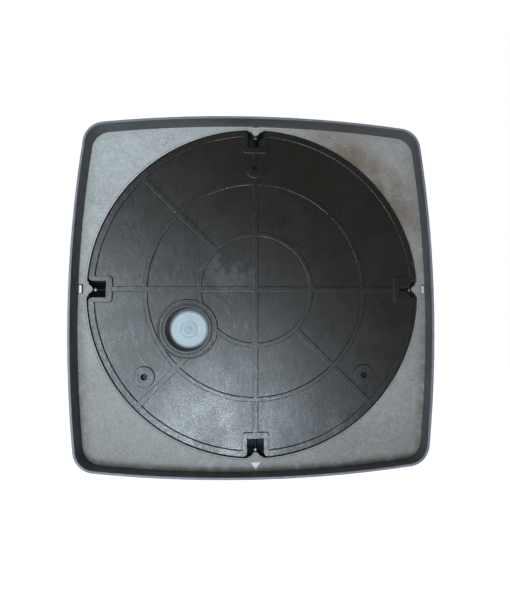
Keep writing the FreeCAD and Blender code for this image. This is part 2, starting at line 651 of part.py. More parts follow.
def scroll_cover():
    y0 = SCROLL_FRONT_Y
    y1 = y0 - COVER_T
    plate = scroll_prism(SCROLL_T, DUCT_TOP, y0, y1)
    lugs = [cyl_y(3.6, y0, y1, x, z) for x, z in cover_posts()]
    plate = plate.fuse(lugs).cut(cyl_y(EYE_R + 1.5, y1 - 1, y0 + 1, FAN_X, FAN_Z))
    # bell mouth: rolls in from the plate and ends as a short sleeve inside the wheel
    pts = [(EYE_R + 6.0, y1 + 0.6), (EYE_R + 6.0, y1 - 0.2), (EYE_R + 3.4, y1 - 1.0), (EYE_R + 1.2, y1 - 0.4),
           (EYE_R + 0.1, y1 + 1.2), (EYE_R, y1 + 3.0), (EYE_R, y0 + 3.0), (EYE_R + 1.5, y0 + 3.0),
           (EYE_R + 1.5, y1 + 0.6)]
    mouth = revolve_y(pts, FAN_X, FAN_Z)
    stop = box(DUCT_X0 + 1.8, DUCT_X1 - 1.8, y0 - 0.3, y0 + 1.5, 82.0, 83.6)
    holes = [cyl_y(1.7, y1 - 1, y0 + 1, x, z) for x, z in cover_posts()]
    return plate.fuse([mouth, stop]).cut(holes).removeSplitter()


def flap():
    x0, x1 = DUCT_X0 + 0.7, DUCT_X1 - 0.7
    plate = box(x0, x1, SCROLL_FRONT_Y + 0.8, FLAP_Y, 84.1, 85.3)
    barrel = cyl_x(2.4, x0, x1, FLAP_Y, FLAP_Z)
    ribs = [box(x - 0.6, x + 0.6, SCROLL_FRONT_Y + 6.0, FLAP_Y, 85.0, 87.0) for x in (-5.0, 20.0, 45.0)]
    body = plate.fuse([barrel] + ribs).removeSplitter()
    return body.cut(cyl_x(FLAP_ROD_R + RUN_GAP, x0 - 1, x1 + 1, FLAP_Y, FLAP_Z))


def flap_pivot_rod():
    return cyl_x(FLAP_ROD_R, DUCT_X0 - 1.8, DUCT_X1 + 1.8, FLAP_Y, FLAP_Z)


def motor_flange():
    x, z = FAN_X, FAN_Z
    disc = cyl_y(25.5, -43.5, -45.5, x, z)
    tube = cyl_y(8.5, -45.0, -60.0, x, z)
    body = disc.fuse(tube)
    cuts = [cyl_y(4.5, -43.0, -61.0, x, z), cyl_y(6.0, -44.0, -48.0, x, z), cyl_y(6.0, -56.0, -61.0, x, z)]
    cuts += [cyl_y(1.25, -43.0, -46.0, a, b) for a, b in motor_holes()]
    cuts.append(lead_slot(-46.0, -43.0, 0.0))
    return body.cut(cuts).removeSplitter()


def bearing(y):
    ring = tube_y(6.0, SHAFT_R + RUN_GAP, y, y - 4.0, FAN_X, FAN_Z)
    grooves = [tube_y(5.0, 3.3, y + 1, y - 0.25, FAN_X, FAN_Z), tube_y(5.0, 3.3, y - 3.75, y - 5, FAN_X, FAN_Z)]
    return ring.cut(grooves)


def motor_bearings():
    return Part.makeCompound([bearing(-44.0), bearing(-56.0)])


def stator_core():
    x, z = FAN_X, FAN_Z
    y0, y1 = -47.5, -57.5
    ring = tube_y(12.0, 8.5, y0, y1, x, z)
    shoe = tube_y(22.0, 18.8, y0, y1)
    arms = []
    for k in range(6):
        a = 60 * k
        arms.append(box(11.5, 20.0, y1, y0, -2.5, 2.5))
        wedge = [V(0, y1, 0)] + [V(30 * math.cos(math.radians(q)), y1, 30 * math.sin(math.radians(q)))
                                 for q in (-24, 24)]
        sector = Part.Face(Part.makePolygon(wedge + [wedge[0]])).extrude(V(0, y0 - y1, 0))
        arms.append(shoe.common(sector))
        for i in (-1, -2):
            arms[i] = turn(arms[i], a)
            arms[i].translate(V(x, 0, z))
    return ring.fuse(arms).removeSplitter()


def stator_windings():
    coils = []
    for k in range(6):
        outer = rounded_rect(-5.0, 5.0, 0, 13.6, 2.0, 0, 5.4)
        inner = box(-2.55, 2.55, -1, 7, 1.75, 11.85)
        coil = outer.cut(inner)
        # stand the coil round its arm: local Z along the motor's axis, local Y along the radius
        coil.rotate(V(0, 0, 0), V(1, 0, 0), 90)
        coil.rotate(V(0, 0, 0), V(0, 1, 0), 90)
        coil.translate(V(12.2, 0, 0))
        c = coil.BoundBox.Center
        coil.translate(V(15.1 - c.x, -52.5 - c.y, -c.z))
        coil = turn(coil, 60 * k)
        coil.translate(V(FAN_X, 0, FAN_Z))
        coils.append(coil)
    return Part.makeCompound(coils)


def motor_dampers():
    return Part.makeCompound([tube_y(4.2, 1.7, -42.0, -43.5, x, z) for x, z in motor_holes()])


def motor_screws():
    out = []
    for x, z in motor_holes():
        s = pan_screw(3.0, 1.7, 1.25, 3.6)
        s.rotate(V(0, 0, 0), V(0, 0, 1), 180)
        s.translate(V(x, SCROLL_BACK_Y, z))
        out.append(s)
    return Part.makeCompound(out)


def motor_shaft():
    return cyl_y(SHAFT_R, -42.6, -64.5, FAN_X, FAN_Z)


def shaft_circlip():
    ring = tube_y(3.6, SHAFT_R, -42.9, -43.6, FAN_X, FAN_Z)
    return ring.cut(box(FAN_X - 0.8, FAN_X + 0.8, -44, -42, FAN_Z + 1, FAN_Z + 5))


def rotor_magnet():
    return tube_y(25.97, 22.6, -47.0, -58.5, FAN_X, FAN_Z)


def rotor_cup():
    x, z = FAN_X, FAN_Z
    wall = tube_y(27.6, 26.0, -47.0, -62.6, x, z)
    end = cyl_y(27.6, -62.5, -64.5, x, z)
    hub = cyl_y(5.0, -60.6, -62.6, x, z)
    vents = [cyl_y(2.6, -62.0, -65.0, *on_circle(x, z, 15.0, 60 * k + 30)) for k in range(6)]
    return wall.fuse([end, hub]).cut(vents + [cyl_y(SHAFT_R, -60, -65, x, z)]).removeSplitter()


def blade(k):
    # forward-curved blade between two arcs
    def at(r, q):
        return on_circle(0, 0, r, q)

    thick = 1.15
    y0, y1 = -48.3, -78.2
    pts = [at(BLADE_IN_R, 0), at(57.6, 1.5), at(WHEEL_R - 0.3, 8.0)]
    back = [at(BLADE_IN_R, thick), at(57.6, 1.5 + thick), at(WHEEL_R - 0.3, 8.0 + thick)]
    e = [arc(pts[0], pts[1], pts[2], y0), line(pts[2], back[2], y0),
         arc(back[2], back[1], back[0], y0), line(back[0], pts[0], y0)]
    return turn(prism(e, y0, y1), k * 360.0 / BLADES)


def impeller():
    disc = tube_y(WHEEL_R, 29.0, -46.5, -48.5)
    sleeve = tube_y(29.8, 27.6, -46.5, -60.5)
    shroud = tube_y(WHEEL_R, 52.5, -78.0, -80.0)
    band = tube_y(WHEEL_R, 61.0, -76.5, -80.0)
    spokes = [turn(box(29.0, 48.0, -50.5, -48.2, -0.9, 0.9), 45 * k) for k in range(8)]
    body = disc.fuse([sleeve, shroud, band] + spokes + [blade(k) for k in range(BLADES)]).removeSplitter()
    body.translate(V(FAN_X, 0, FAN_Z))
    return body


def scroll_screws():
    return screws_at(scroll_ears(), SCROLL_IN_Y, 3.2, 2.1, 1.35, 9.0)


def scroll_cover_screws():
    return screws_at(cover_posts(), SCROLL_FRONT_Y - COVER_T, 3.0, 1.6, 1.25, 9.0)


def motor_leads():
    # three insulated leads in the space behind the scroll, from the motor to the circuit board
    leads = []
    run_y = -37.5
    for k in range(3):
        x0 = FAN_X + LEAD_X
        z0 = FAN_Z + 1.9 * (k - 1)
        z1 = FAN_Z + 3.8 + 2.2 * k
        x2 = 76.0 + 2.2 * k
        pts = [V(x0, -45.6, z0), V(x0, run_y, z0), V(FAN_X + 30.0, run_y, z1), V(x2, run_y, z1 + 20.0),
               V(x2, PCB_Y + 0.02, z1 + 20.0)]
        leads.append(lead(pts, 0.8, 3.0))
    return Part.makeCompound(leads)


def lead(pts, r, bend):
    # straight runs joined by arcs of radius bend
    edges = []
    here = pts[0]
    for i in range(1, len(pts) - 1):
        a = (pts[i - 1] - pts[i]).normalize()
        b = (pts[i + 1] - pts[i]).normalize()
        half = math.acos(max(-1.0, min(1.0, a.dot(b)))) / 2
        back = bend / math.tan(half)
        p0 = pts[i] + a * back
        p1 = pts[i] + b * back
        mid_dir = (a + b).normalize()
        centre = pts[i] + mid_dir * (bend / math.sin(half))
        pm = centre - mid_dir * bend
        edges.append(Part.makeLine(here, p0))
        edges.append(Part.Arc(p0, pm, p1).toShape())
        here = p1
    edges.append(Part.makeLine(here, pts[-1]))
    path = Part.Wire(edges)
    along = pts[1] - pts[0]
    ring = Part.Wire([Part.makeCircle(r, pts[0], along)])
    return path.makePipeShell([ring], True, False)


# ---------------------------------------------------------------- electronics

def pcb_holes():
    x0, z0, x1, z1 = PCB
    return ((x0 + 5, z0 + 5), (x1 - 5, z0 + 5), (x0 + 5, z1 - 5), (x1 - 5, z1 - 5))


def control_pcb():
    x0, z0, x1, z1 = PCB
    board = rounded_rect(x0, x1, z0, z1, 2.0, PCB_Y - PCB_T, PCB_Y)
    return board.cut([cyl_y(1.7, PCB_Y - 5, PCB_Y + 5, x, z) for x, z in pcb_holes()])


def pcb_screws():
    return screws_at(pcb_holes(), PCB_Y - PCB_T, 2.8, 1.8, 1.2, 8.0)


TERMINALS = 4
TERM_X = 95.0
TERM_Z = -52.0


def terminal_xs():
    return [TERM_X + 6.2 * (k - (TERMINALS - 1) / 2) for k in range(TERMINALS)]


def terminal_block():
    face = PCB_Y - PCB_T
    w = 6.2 * TERMINALS / 2 + 0.6
    block = box(TERM_X - w, TERM_X + w, face - 13.0, face, TERM_Z - 6.0, TERM_Z + 6.0)
    step = box(TERM_X - w - 1, TERM_X + w + 1, face - 14.0, face - 9.0, TERM_Z - 7.0, TERM_Z - 2.6)
    cuts = [step]
    for x in terminal_xs():
        cuts.append(cyl_y(2.1, face - 14.0, face - 5.0, x, TERM_Z + 1.2))
        cuts.append(box(x - 2.0, x + 2.0, face - 7.4, face - 3.4, TERM_Z - 7.0, TERM_Z - 1.0))
    return block.cut(cuts).removeSplitter()


def terminal_screws():
    face = PCB_Y - PCB_T
    out = []
    for x in terminal_xs():
        s = cyl_y(2.0, face - 11.0, face - 5.0, x, TERM_Z + 1.2)
        out.append(s.cut(box(x - 2.2, x + 2.2, face - 12.0, face - 10.2, TERM_Z + 0.85, TERM_Z + 1.55)))
    return Part.makeCompound(out)


def soft_box(x0, x1, z0, z1, height, r=0.8):
    face = PCB_Y - PCB_T
    body = box(x0, x1, face - height, face, z0, z1)
    edges = [e for e in body.Edges if e.BoundBox.YMin < face - 0.01]
    return body.makeFillet(r, edges)


def relay():
    return soft_box(97.0, 113.0, -22.0, -2.0, 15.0)


def film_capacitor():
    return soft_box(77.0, 85.0, -24.0, -4.0, 14.0, 1.0)


def smoothing_capacitor():
    face = PCB_Y - PCB_T
    can = cyl_y(5.0, face, face - 16.0, 104.0, 8.0)
    top = [e for e in can.Edges if len(e.Vertexes) == 1 and abs(e.Vertexes[0].Y - face + 16.0) < 1e-6]
    can = can.makeFillet(0.8, top)
    vents = [box(100.5, 107.5, face - 16.5, face - 15.7, 7.85, 8.15),
             box(103.85, 104.15, face - 16.5, face - 15.7, 4.5, 11.5)]
    return can.cut(vents)


TRIMMERS = ((80.0, 8.0), (80.0, 20.5))
TRIM_H = 7.0


def trimmer_bodies():
    face = PCB_Y - PCB_T
    out = []
    for x, z in TRIMMERS:
        body = box(x - 5.0, x + 5.0, face - TRIM_H, face, z - 5.0, z + 5.0)
        out.append(body.cut(cyl_y(3.6, face - TRIM_H - 1, face - 2.0, x, z)))
    return Part.makeCompound(out)


def trimmer_knob(x, z):
    face = PCB_Y - PCB_T
    knob = cyl_y(3.2, face - 9.0, face - 2.4, x, z)
    slot = box(x - 0.5, x + 0.5, face - 10.0, face - 7.4, z - 2.8, z + 3.4)
    return knob.cut(slot)


def humidity_sensor():
    body = soft_box(95.0, 108.0, 18.0, 28.0, 6.0)
    face = PCB_Y - PCB_T - 6.0
    slots = [box(97.0 + 2.6 * k, 98.2 + 2.6 * k, face - 1, face + 1.2, 20.0, 26.0) for k in range(4)]
    return body.cut(slots)


NODES = {
    "rear_frame": rear_frame,
    "front_cover": front_cover,
    "front_grille": front_grille,
    "grille_hinge_pins": grille_hinge_pins,
    "casing_screws": lambda: Part.makeCompound([casing_screw(a) for a in range(0, 360, 90)]),
    "casing_nuts": lambda: Part.makeCompound([casing_nut(a) for a in range(0, 360, 90)]),
    "base_plate": base_plate,
    "cable_grommet": cable_grommet,
    "cable_clamp": cable_clamp,
    "cable_clamp_screws": cable_clamp_screws,
    "scroll_housing": scroll_housing,
    "scroll_cover": scroll_cover,
    "scroll_screws": scroll_screws,
    "scroll_cover_screws": scroll_cover_screws,
    "outlet_socket": outlet_socket,
    "backdraught_flap": flap,
    "flap_pivot_rod": flap_pivot_rod,
    "impeller": impeller,
    "rotor_cup": rotor_cup,
    "rotor_magnet": rotor_magnet,
    "motor_shaft": motor_shaft,
    "shaft_circlip": shaft_circlip,
    "motor_flange": motor_flange,
    "motor_bearings": motor_bearings,
    "stator_core": stator_core,
    "stator_windings": stator_windings,
    "motor_dampers": motor_dampers,
    "motor_screws": motor_screws,
    "motor_leads": motor_leads,
    "control_pcb": control_pcb,
    "pcb_screws": pcb_screws,
    "terminal_block": terminal_block,
    "terminal_screws": terminal_screws,
    "relay": relay,
    "film_capacitor": film_capacitor,
    "smoothing_capacitor": smoothing_capacitor,
    "trimmer_bodies": trimmer_bodies,
    "timer_trimmer": lambda: trimmer_knob(*TRIMMERS[0]),
    "humidity_trimmer": lambda: trimmer_knob(*TRIMMERS[1]),
    "humidity_sensor": humidity_sensor,
}

os.makedirs("parts", exist_ok=True)
for name, make in NODES.items():
    shape = make()
    print(name, shape.isValid(), len(shape.Solids), round(shape.Volume / 1000, 2), "cm3")
    shape.exportStep("parts/" + name + ".step")
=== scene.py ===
import json
import math

import bpy
from mathutils import Matrix, Vector


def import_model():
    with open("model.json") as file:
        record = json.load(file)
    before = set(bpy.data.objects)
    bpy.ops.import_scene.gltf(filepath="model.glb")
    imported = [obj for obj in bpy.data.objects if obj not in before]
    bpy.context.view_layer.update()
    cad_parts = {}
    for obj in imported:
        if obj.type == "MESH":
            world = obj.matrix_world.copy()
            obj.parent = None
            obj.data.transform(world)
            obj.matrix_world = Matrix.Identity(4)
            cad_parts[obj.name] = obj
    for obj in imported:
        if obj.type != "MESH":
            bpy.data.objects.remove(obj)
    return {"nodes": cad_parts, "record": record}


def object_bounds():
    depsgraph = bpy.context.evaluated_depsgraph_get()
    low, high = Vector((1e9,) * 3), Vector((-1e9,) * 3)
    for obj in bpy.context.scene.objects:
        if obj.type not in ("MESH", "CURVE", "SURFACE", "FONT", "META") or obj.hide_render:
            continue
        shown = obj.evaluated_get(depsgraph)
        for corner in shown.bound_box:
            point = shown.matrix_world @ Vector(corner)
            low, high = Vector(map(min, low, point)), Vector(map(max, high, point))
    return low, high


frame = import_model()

CAD_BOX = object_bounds()
CAD_LOW, CAD_HIGH = CAD_BOX
MOUNTS = {mount["name"]: mount for mount in frame["record"]["mounts"]}

# Camera in the CAD frame: it looks at the wall side from just below and beside the centre
CAM_AT = Vector((-0.00324, 0.35132, -0.04167))
CAM_RIGHT = Vector((-0.99843, 0.05586, -0.00480))
CAM_UP = Vector((-0.00053, 0.07627, 0.99709))
CAM_BACK = Vector((0.05606, 0.99552, -0.07612))
LENS = 24.3
SENSOR = 36.0
SHIFT = (-0.0448, 0.0069)

# Middle of the cable plug
PLUG_X, _, PLUG_Z = MOUNTS["cable_entry"]["pos_m"]

# Inner face of the rim wall: half width at the middle of a side, centre height, bow
RIM_WALL = 0.0023
RIM_IN = CAD_HIGH[0] - RIM_WALL
RIM_Z = (CAD_LOW[2] + CAD_HIGH[2]) / 2
RIM_BOW = 0.45

# Levels along Y of the faces that get a colour of their own, painted light and shade among them, and the
# radius of the web's opening
LIP_FROM_Y = -0.0012
WEB_FROM_Y, WEB_TO_Y = -0.0162, -0.0148
ARROW_FROM_Y, ARROW_TO_Y = -0.01570, -0.01554
SUNK_BELOW_Y = -0.0182
CASING_SUNK_FROM_Y = -0.050
OPENING_R = 0.1516

# Radii around the plug: the well that stays clean, and where the rubbed arcs start and end
WELL_R = 0.030
RUB_IN = (0.027, 0.031)
RUB_OUT = (0.048, 0.064)

# Distance from the middle at which the casing screws turn from near black, painted shade inside the
# notches, to bright
SCREW_BRIGHT_FROM = (0.1420, 0.1445)

# Spacing along Y of the stator's sheets, and of the turns on its coils
SHEET_PITCH = 0.0005
TURN_PITCH = 0.0006

# Ends of the web's colour; how far it leans to the pale end towards +X, +Z is painted light
WEB_DARK = (0.276, 0.266, 0.261)
WEB_PALE = (0.532, 0.550, 0.553)
PAGE_WHITE = (1.0, 1.0, 1.0, 1.0)


# ------------------------------------------------------------------ node helpers

# The mix node's colour sockets, by number because its names repeat for each data type
COLOR_A, COLOR_B, COLOR_OUT = 6, 7, 2


class Graph:
    """A material's node tree, with short calls for the nodes used here."""

    def __init__(self, name):
        self.mat = bpy.data.materials.new(name)
        self.mat.use_nodes = True
        self.nodes = self.mat.node_tree.nodes
        self.links = self.mat.node_tree.links
        self.bsdf = self.nodes["Principled BSDF"]
        self.coords = self.nodes.new("ShaderNodeTexCoord").outputs["Object"]

    def link(self, a, b):
        self.links.new(a, b)

    def put(self, socket, value):
        if isinstance(value, bpy.types.NodeSocket):
            self.link(value, socket)
        elif isinstance(value, tuple):
            opaque = socket.type == "RGBA" and len(value) == 3
            socket.default_value = value + (1.0,) if opaque else value
        else:
            socket.default_value = value

    def noise(self, scale, detail=3.0, rough=0.5, vector=None):
        n = self.nodes.new("ShaderNodeTexNoise")
        self.link(vector or self.coords, n.inputs["Vector"])
        n.inputs["Scale"].default_value = scale
        n.inputs["Detail"].default_value = detail
        n.inputs["Roughness"].default_value = rough
        return n.outputs["Fac"]

    def cell_edges(self, scale, vector):
        # distance from the borders of random cells
        n = self.nodes.new("ShaderNodeTexVoronoi")
        n.feature = "DISTANCE_TO_EDGE"
        self.link(vector, n.inputs["Vector"])
        n.inputs["Scale"].default_value = scale
        return n.outputs["Distance"]

    def math(self, kind, a, b=0.0):
        n = self.nodes.new("ShaderNodeMath")
        n.operation = kind
        self.put(n.inputs[0], a)
        self.put(n.inputs[1], b)
        return n.outputs[0]

    def add(self, a, b):
        return self.math("ADD", a, b)

    def sub(self, a, b):
        return self.math("SUBTRACT", a, b)

    def mul(self, a, b):
        return self.math("MULTIPLY", a, b)

    def ramp(self, fac, low, high, a=0.0, b=1.0):
        # smooth step of fac between low and high, from a to b
        n = self.nodes.new("ShaderNodeMapRange")
        n.interpolation_type = "SMOOTHSTEP"
        self.put(n.inputs["Value"], fac)
        n.inputs["From Min"].default_value = low
        n.inputs["From Max"].default_value = high
        n.inputs["To Min"].default_value = a
        n.inputs["To Max"].default_value = b
        return n.outputs["Result"]

    def mix(self, fac, a, b, blend="MIX"):
        n = self.nodes.new("ShaderNodeMix")
        n.data_type = "RGBA"
        n.blend_type = blend
        self.put(n.inputs["Factor"], fac)
        self.put(n.inputs[COLOR_A], a)
        self.put(n.inputs[COLOR_B], b)
        return n.outputs[COLOR_OUT]

    def times(self, color, factors):
        return self.mix(1.0, color, factors, "MULTIPLY")

    def scaled(self, factors):
        n = self.nodes.new("ShaderNodeMapping")
        self.link(self.coords, n.inputs["Vector"])
        n.inputs["Scale"].default_value = factors
        return n.outputs["Vector"]

    def axes(self):
        n = self.nodes.new("ShaderNodeSeparateXYZ")
        self.link(self.coords, n.inputs[0])
        return n.outputs

    def radius(self, x0=0.0, z0=0.0):
        # distance from the line along Y through x0, z0, in metres
        ax = self.axes()
        dx = self.sub(ax[0], x0)
        dz = self.sub(ax[2], z0)
        sq = self.add(self.mul(dx, dx), self.mul(dz, dz))
        return self.math("SQRT", sq)

    def rim_distance(self):
        # distance from the inner face of the bowed rim wall, in metres
        x, _, z = self.axes()
        z = self.add(z, -RIM_Z)
        across = self.add(self.math("ABSOLUTE", x), self.mul(self.mul(z, z), RIM_BOW))
        up = self.add(self.math("ABSOLUTE", z), self.mul(self.mul(x, x), RIM_BOW))
        return self.sub(RIM_IN, self.math("MAXIMUM", across, up))

    def facing_wall(self):
        # 1 on faces that look along +Y, 0 on walls
        geo = self.nodes.new("ShaderNodeNewGeometry")
        n = self.nodes.new("ShaderNodeSeparateXYZ")
        self.link(geo.outputs["Normal"], n.inputs[0])
        return self.ramp(n.outputs[1], 0.6, 0.9)

    def between(self, value, low, high):
        return self.mul(self.math("GREATER_THAN", value, low), self.math("LESS_THAN", value, high))

    def bump(self, height, strength, distance, normal=None):
        n = self.nodes.new("ShaderNodeBump")
        n.inputs["Strength"].default_value = strength
        n.inputs["Distance"].default_value = distance
        self.link(height, n.inputs["Height"])
        if normal is not None:
            self.link(normal, n.inputs["Normal"])
        return n.outputs["Normal"]

    def done(self, color, rough, normal=None, metal=0.0, **extra):
        self.put(self.bsdf.inputs["Base Color"], color)
        self.put(self.bsdf.inputs["Roughness"], rough)
        self.bsdf.inputs["Metallic"].default_value = metal
        if normal is not None:
            self.link(normal, self.bsdf.inputs["Normal"])
        for key, value in extra.items():
            self.put(self.bsdf.inputs[key.replace("_", " ")], value)
        return self.mat


# ------------------------------------------------------------------ materials

def brown_arc(g, x, z):
    # brown darkening that follows the opening on the upper -X side
    r = g.radius()
    toward = g.math("DIVIDE", g.sub(z, x), g.mul(r, math.sqrt(2)))
    mask = g.mul(g.ramp(toward, 0.86, 0.975), g.ramp(r, 0.156, 0.182, 1.0, 0.0))
    return g.mul(mask, g.ramp(g.noise(60.0, 4.0, 0.65), 0.25, 0.62))


def foot_dirt_and_shade(g, z, cloud):
    # brown dirt and painted shade at the foot of the rim, more of it low down
    mask = g.mul(g.ramp(g.rim_distance(), 0.0005, 0.0100, 1.0, 0.0), g.ramp(cloud, 0.30, 0.56))
    return g.mul(mask, g.ramp(z, -0.14, 0.16, 0.9, 0.25))


def web_colour_and_painted_light(g, x, y, z, broad, cloud, faces_wall):
    # paler than the walls, in part a paler tone and in part painted sheen; palest towards +X, +Z, a lean
    # that is painted light
    painted_light_lean = g.add(g.add(g.mul(x, 0.43), g.mul(z, 2.0)), g.mul(g.mul(x, z), 6.1))
    tone = g.ramp(g.add(painted_light_lean, g.mul(g.sub(broad, 0.5), 0.60)), -0.42, 0.52)
    pale = g.mix(tone, WEB_DARK, WEB_PALE)
    pale = g.mix(g.ramp(cloud, 0.42, 0.62, 0.0, 0.5), pale, g.times(pale, (1.25, 1.24, 1.22)))
    speck = g.noise(640.0, 3.0, 0.7)
    pale = g.mix(g.ramp(speck, 0.46, 0.62, 0.0, 0.75), pale, g.times(pale, (0.70, 0.71, 0.72)))
    # painted light: warmer and darker towards -X, +Z, where warmer light falls
    pale = g.mix(g.ramp(g.sub(z, x), 0.02, 0.24), pale, g.times(pale, (0.92, 0.85, 0.82)))
    pale = g.mix(brown_arc(g, x, z), pale, g.times(pale, (0.58, 0.49, 0.38)))
    pale = g.mix(foot_dirt_and_shade(g, z, cloud), pale, g.times(pale, (0.55, 0.50, 0.42)))
    # painted highlight: the arrow's sunk floor is painted near white for the light it reflects
    arrow = g.mul(faces_wall, g.between(y, ARROW_FROM_Y, ARROW_TO_Y))
    return g.mix(arrow, pale, g.mix(g.ramp(cloud, 0.3, 0.7), (0.70, 0.72, 0.72), (0.84, 0.85, 0.85)))


def casing_grey():
    g = Graph("casing_grey")
    x, y, z = g.axes()
    broad = g.noise(16.0, 3.0, 0.55)
    cloud = g.noise(120.0, 4.0, 0.62)
    middle = g.ramp(cloud, 0.35, 0.65)
    faces_wall = g.facing_wall()
    base = g.mix(g.ramp(broad, 0.35, 0.68), (0.078, 0.080, 0.083), (0.096, 0.099, 0.103))
    web = g.mul(faces_wall, g.between(y, WEB_FROM_Y, WEB_TO_Y))
    base = g.mix(web, base, web_colour_and_painted_light(g, x, y, z, broad, cloud, faces_wall))
    # painted highlight: the lip's front face is painted a pale bluish grey for the sheen on its rounded
    # edge
    lip = g.mul(faces_wall, g.math("GREATER_THAN", y, LIP_FROM_Y))
    base = g.mix(lip, base, g.mix(middle, (0.200, 0.205, 0.245), (0.270, 0.275, 0.320)))
    # painted shade: near black where the noses run back below the plate's notches
    inside = g.math("LESS_THAN", g.radius(), OPENING_R)
    shaded_recess = g.mul(g.between(y, CASING_SUNK_FROM_Y, SUNK_BELOW_Y), inside)
    base = g.mix(shaded_recess, base, g.mix(middle, (0.0060, 0.0056, 0.0052), (0.0110, 0.0104, 0.0098)))
    rough = g.add(g.ramp(cloud, 0.3, 0.7, 0.40, 0.54), g.mul(shaded_recess, 0.30))
    normal = g.bump(g.noise(2600.0, 2.0, 0.6), 0.35, 0.00012)
    normal = g.bump(g.noise(420.0, 2.0), 0.30, 0.00025, normal)
    return g.done(base, rough, normal)


def bloom(g, z, cloud, grain):
    # pale bloom low on the plate, and a lighter patch inside the inner ring
    low = g.ramp(z, -0.128, -0.088, 1.0, 0.0)
    inner = g.mul(g.ramp(g.radius(0.022, 0.016), 0.010, 0.034, 1.0, 0.0), 0.8)
    mask = g.mul(g.math("MAXIMUM", low, inner), g.ramp(cloud, 0.46, 0.60))
    return g.mul(mask, g.ramp(grain, 0.36, 0.56))


def rubbed_arcs(g, x, z, r):
    # short arcs on both sides of the cable boss; the streaks are long around it and thin across
    dx, dz = g.sub(x, PLUG_X), g.sub(z, PLUG_Z)
    across = g.math("DIVIDE", g.add(g.mul(dx, 0.95), g.mul(dz, -0.32)), r)
    sector = g.ramp(g.math("ABSOLUTE", across), 0.80, 0.94)
    near = g.mul(g.ramp(r, *RUB_IN), g.ramp(r, *RUB_OUT, 1.0, 0.0))
    polar = g.nodes.new("ShaderNodeCombineXYZ")
    g.link(g.mul(r, 900.0), polar.inputs[0])
    g.link(g.mul(g.math("ARCTAN2", dz, dx), 2.4), polar.inputs[1])
    streaks = g.ramp(g.noise(1.0, 3.0, 0.6, vector=polar.outputs[0]), 0.54, 0.68)
    return g.mul(streaks, g.mul(sector, near))


def plate_black():
    g = Graph("plate_black")
    x, y, z = g.axes()
    r = g.radius(PLUG_X, PLUG_Z)
    broad = g.noise(11.0, 3.0, 0.55)
    cloud = g.noise(46.0, 6.0, 0.70)
    grain = g.noise(1000.0, 2.0, 0.6)
    patch = g.noise(30.0, 3.0, 0.6)
    smear = g.noise(260.0, 3.0, 0.6, vector=g.scaled((1.0, 1.0, 0.45)))
    base = g.mix(g.ramp(broad, 0.35, 0.7), (0.0105, 0.0072, 0.0040), (0.0140, 0.0104, 0.0070))
    # pale bluish flecks, in part dust and in part painted sheen where the low key light falls, so more of
    # them towards +X, -Z
    flecks_and_sheen = g.mul(g.ramp(grain, 0.46, 0.60), g.ramp(smear, 0.38, 0.60, 0.3, 1.0))
    flecks_and_sheen = g.mul(flecks_and_sheen, g.ramp(patch, 0.36, 0.58, 0.45, 1.0))
    amount = g.add(g.mul(g.ramp(g.sub(x, z), -0.10, 0.16), 0.97), 0.03)
    base = g.mix(g.mul(flecks_and_sheen, amount), base, (0.135, 0.158, 0.187))
    base = g.mix(g.mul(bloom(g, z, cloud, grain), 0.8), base, (0.135, 0.145, 0.152))
    base = g.mix(g.mul(rubbed_arcs(g, x, z, r), 0.8), base, (0.15, 0.165, 0.18))
    # painted shade: the notches and holes are painted near black inside, and the ribs' side walls are
    # duller
    shaded_recess = g.mul(g.math("LESS_THAN", y, SUNK_BELOW_Y), g.math("GREATER_THAN", r, WELL_R))
    dark_mottle = g.mix(g.ramp(cloud, 0.35, 0.65), (0.0022, 0.0020, 0.0018), (0.0040, 0.0037, 0.0034))
    base = g.mix(shaded_recess, base, dark_mottle)
    rough = g.add(g.ramp(patch, 0.35, 0.65, 0.07, 0.0), g.ramp(grain, 0.42, 0.58, 0.395, 0.27))
    rough = g.add(rough, g.mul(shaded_recess, 0.30))
    rough = g.add(rough, g.mul(g.sub(1.0, g.facing_wall()), 0.34))
    normal = g.bump(g.noise(1500.0, 3.0, 0.6), 0.30, 0.00014)
    normal = g.bump(grain, 0.40, 0.00020, normal)
    normal = g.bump(smear, 0.33, 0.00030, normal)
    return g.done(base, rough, normal, Specular_IOR_Level=0.90)


def plain_plastic(name, low, high, rough):
    g = Graph(name)
    cloud = g.noise(70.0, 4.0, 0.6)
    base = g.mix(g.ramp(cloud, 0.35, 0.68), low, high)
    speck = g.noise(900.0, 2.0)
    base = g.mix(g.ramp(speck, 0.6, 0.78, 0.0, 0.25), base, tuple(0.72 * c for c in low))
    uneven = g.ramp(cloud, 0.3, 0.7, rough - 0.05, rough + 0.06)
    return g.done(base, uneven, g.bump(g.noise(2000.0, 2.0), 0.25, 0.0001))


def grommet_white():
    g = Graph("grommet_white")
    r = g.radius(PLUG_X, PLUG_Z)
    cloud = g.noise(220.0, 3.0, 0.6)
    base = g.mix(g.ramp(cloud, 0.35, 0.7), (0.50, 0.60, 0.66), (0.58, 0.67, 0.72))
    base = g.mix(g.ramp(r, 0.001, 0.009, 0.55, 0.0), base, (0.36, 0.47, 0.56))
    base = g.mix(g.ramp(r, 0.0145, 0.0170, 0.0, 0.45), base, (0.40, 0.52, 0.60))
    normal = g.bump(g.noise(900.0, 2.0), 0.15, 0.0002)
    return g.done(base, g.ramp(cloud, 0.3, 0.7, 0.42, 0.55), normal, Subsurface_Weight=0.25,
                  Subsurface_Scale=0.003, Subsurface_Radius=(0.6, 0.9, 1.0))


